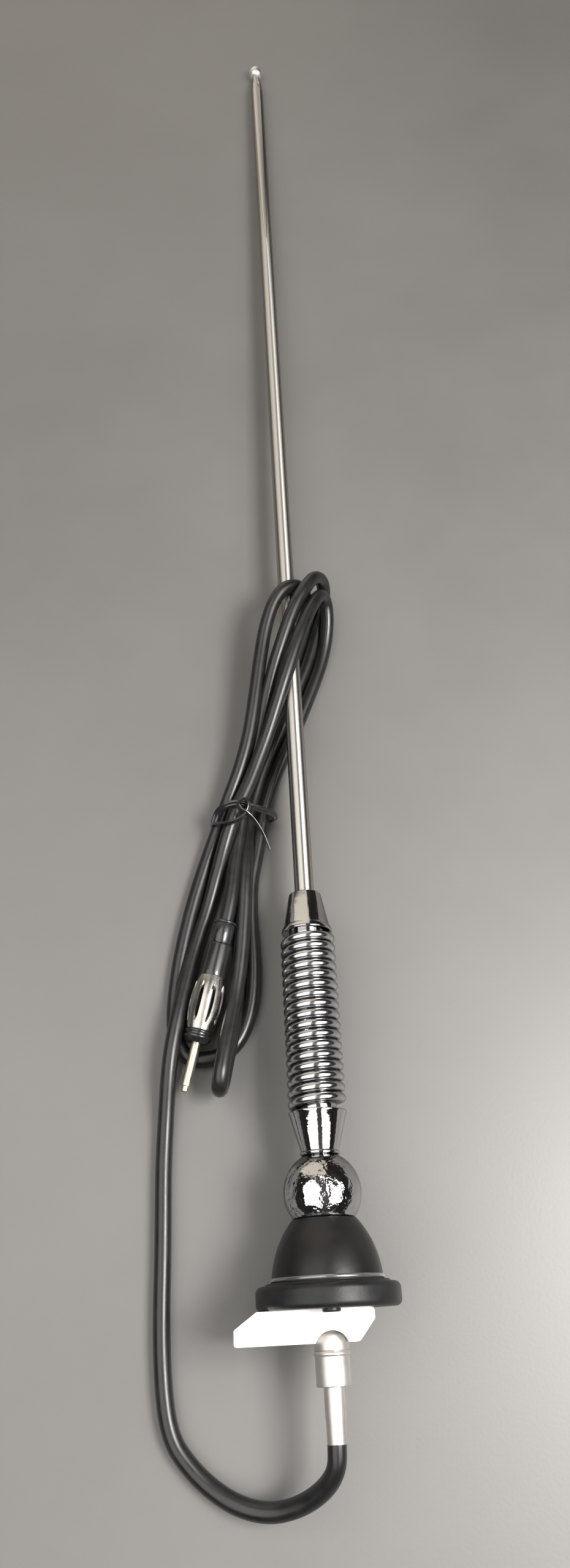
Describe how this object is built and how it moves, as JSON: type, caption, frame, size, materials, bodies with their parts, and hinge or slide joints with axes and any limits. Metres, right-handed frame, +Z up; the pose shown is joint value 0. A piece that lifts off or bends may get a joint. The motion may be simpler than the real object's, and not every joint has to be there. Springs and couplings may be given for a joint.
{
  "type": "car antenna",
  "caption": "Telescopic car antenna with a chrome mast, base spring, swivel ball, domed black base, white clamp foot and a tied black cable that ends in an aerial plug.",
  "frame": {"origin": "centre of the gasket's underside, where the antenna's axis meets the car's panel", "axes": "+Y along the antenna towards its tip, with the antenna lying down, +Z up"},
  "size_m": [0.072, 0.6361, 0.0394],
  "materials": {
    "gasket_rubber": "soft black rubber",
    "dome_plastic": "satin black moulding",
    "ball_chrome": "mirror chrome",
    "screw_steel": "zinc plated",
    "stud_brass": "turned brass",
    "bush_nylon": "natural nylon",
    "foot_nylon": "white nylon moulding",
    "stem_nickel": "satin nickel plate",
    "core_copper": "bare copper",
    "ferrule_chrome": "polished chrome",
    "spring_chrome": "polished chrome",
    "mast_chrome": "polished, a little warm",
    "contact_bronze": "spring bronze",
    "cable_jacket": "satin black jacket",
    "tie_plastic": "glossy black ribbon",
    "plug_plastic": "glossy black moulding",
    "plug_nickel": "nickel plate",
    "pin_nickel": "dull nickel on brass"
  },
  "bodies": {
    "base": {"gasket": "gasket_rubber", "dome": "dome_plastic", "ball_base_half": "ball_chrome", "pivot_washer": "screw_steel", "base_stud": "stud_brass", "insulator_bush": "bush_nylon", "clamp_foot": "foot_nylon", "stem_nut": "stem_nickel", "cable_sleeve": "stem_nickel", "crimp_ferrule": "stem_nickel", "core_wire": "core_copper", "cable_lead": "cable_jacket"},
    "mast": {"ball_mast_half": "ball_chrome", "pivot_screw": "screw_steel", "lower_ferrule": "ferrule_chrome", "mast_spring": "spring_chrome", "upper_ferrule": "ferrule_chrome", "outer_tube": "mast_chrome", "cable_hank": "cable_jacket", "cable_outer_loop": "cable_jacket", "cable_tail": "cable_jacket", "cable_tie": "tie_plastic", "plug_collar": "plug_plastic", "plug_body": "plug_plastic", "plug_ring": "plug_plastic", "plug_barrel": "plug_nickel", "plug_pin": "pin_nickel"},
    "middle_section": {"middle_tube": "mast_chrome", "middle_sleeve": "contact_bronze"},
    "tip_section": {"tip_rod": "mast_chrome", "tip_sleeve": "contact_bronze", "tip_button": "mast_chrome"}
  },
  "joints": [
    {"name": "swivel", "type": "hinge", "parent": "base", "child": "mast", "pos_m": [0, 0.02919, -0.00083], "axis": [0, 0.0285, 0.9996], "range_deg": [-90, 90], "deforming": ["cable_lead"]},
    {"name": "middle_slide", "type": "slide", "parent": "mast", "child": "middle_section", "axis": [0, 0.9996, -0.0285], "range_m": [0, 0.43]},
    {"name": "tip_slide", "type": "slide", "parent": "middle_section", "child": "tip_section", "axis": [0, 0.9996, -0.0285], "range_m": [0, 0.43]}
  ]
}
